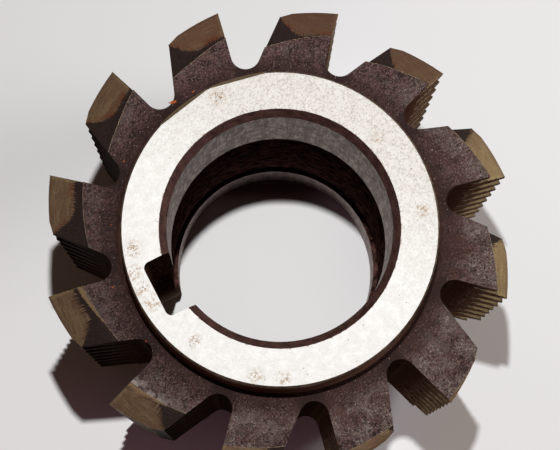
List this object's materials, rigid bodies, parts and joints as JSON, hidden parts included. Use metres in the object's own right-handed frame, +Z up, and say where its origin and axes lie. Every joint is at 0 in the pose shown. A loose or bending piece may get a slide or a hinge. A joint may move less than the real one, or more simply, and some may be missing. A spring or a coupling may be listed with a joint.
{
  "type": "gear hob",
  "caption": "Relieved gear-cutting hob with straight chip gashes, ground hubs at both ends and a keyed through bore; a single-start right-hand thread of rack-shaped teeth.",
  "frame": {"origin": "centre of the bottom hub face, on the bore's axis", "axes": "+Z up the bore to the other hub face, +X through the middle of the keyway"},
  "size_m": [0.0568, 0.0568, 0.048],
  "materials": {
    "hob": "hardened high-speed steel: ground hub faces and bore, browned gashes, stained and specked with light rust"
  },
  "bodies": {
    "root": {"hob": "hob"}
  },
  "joints": []
}
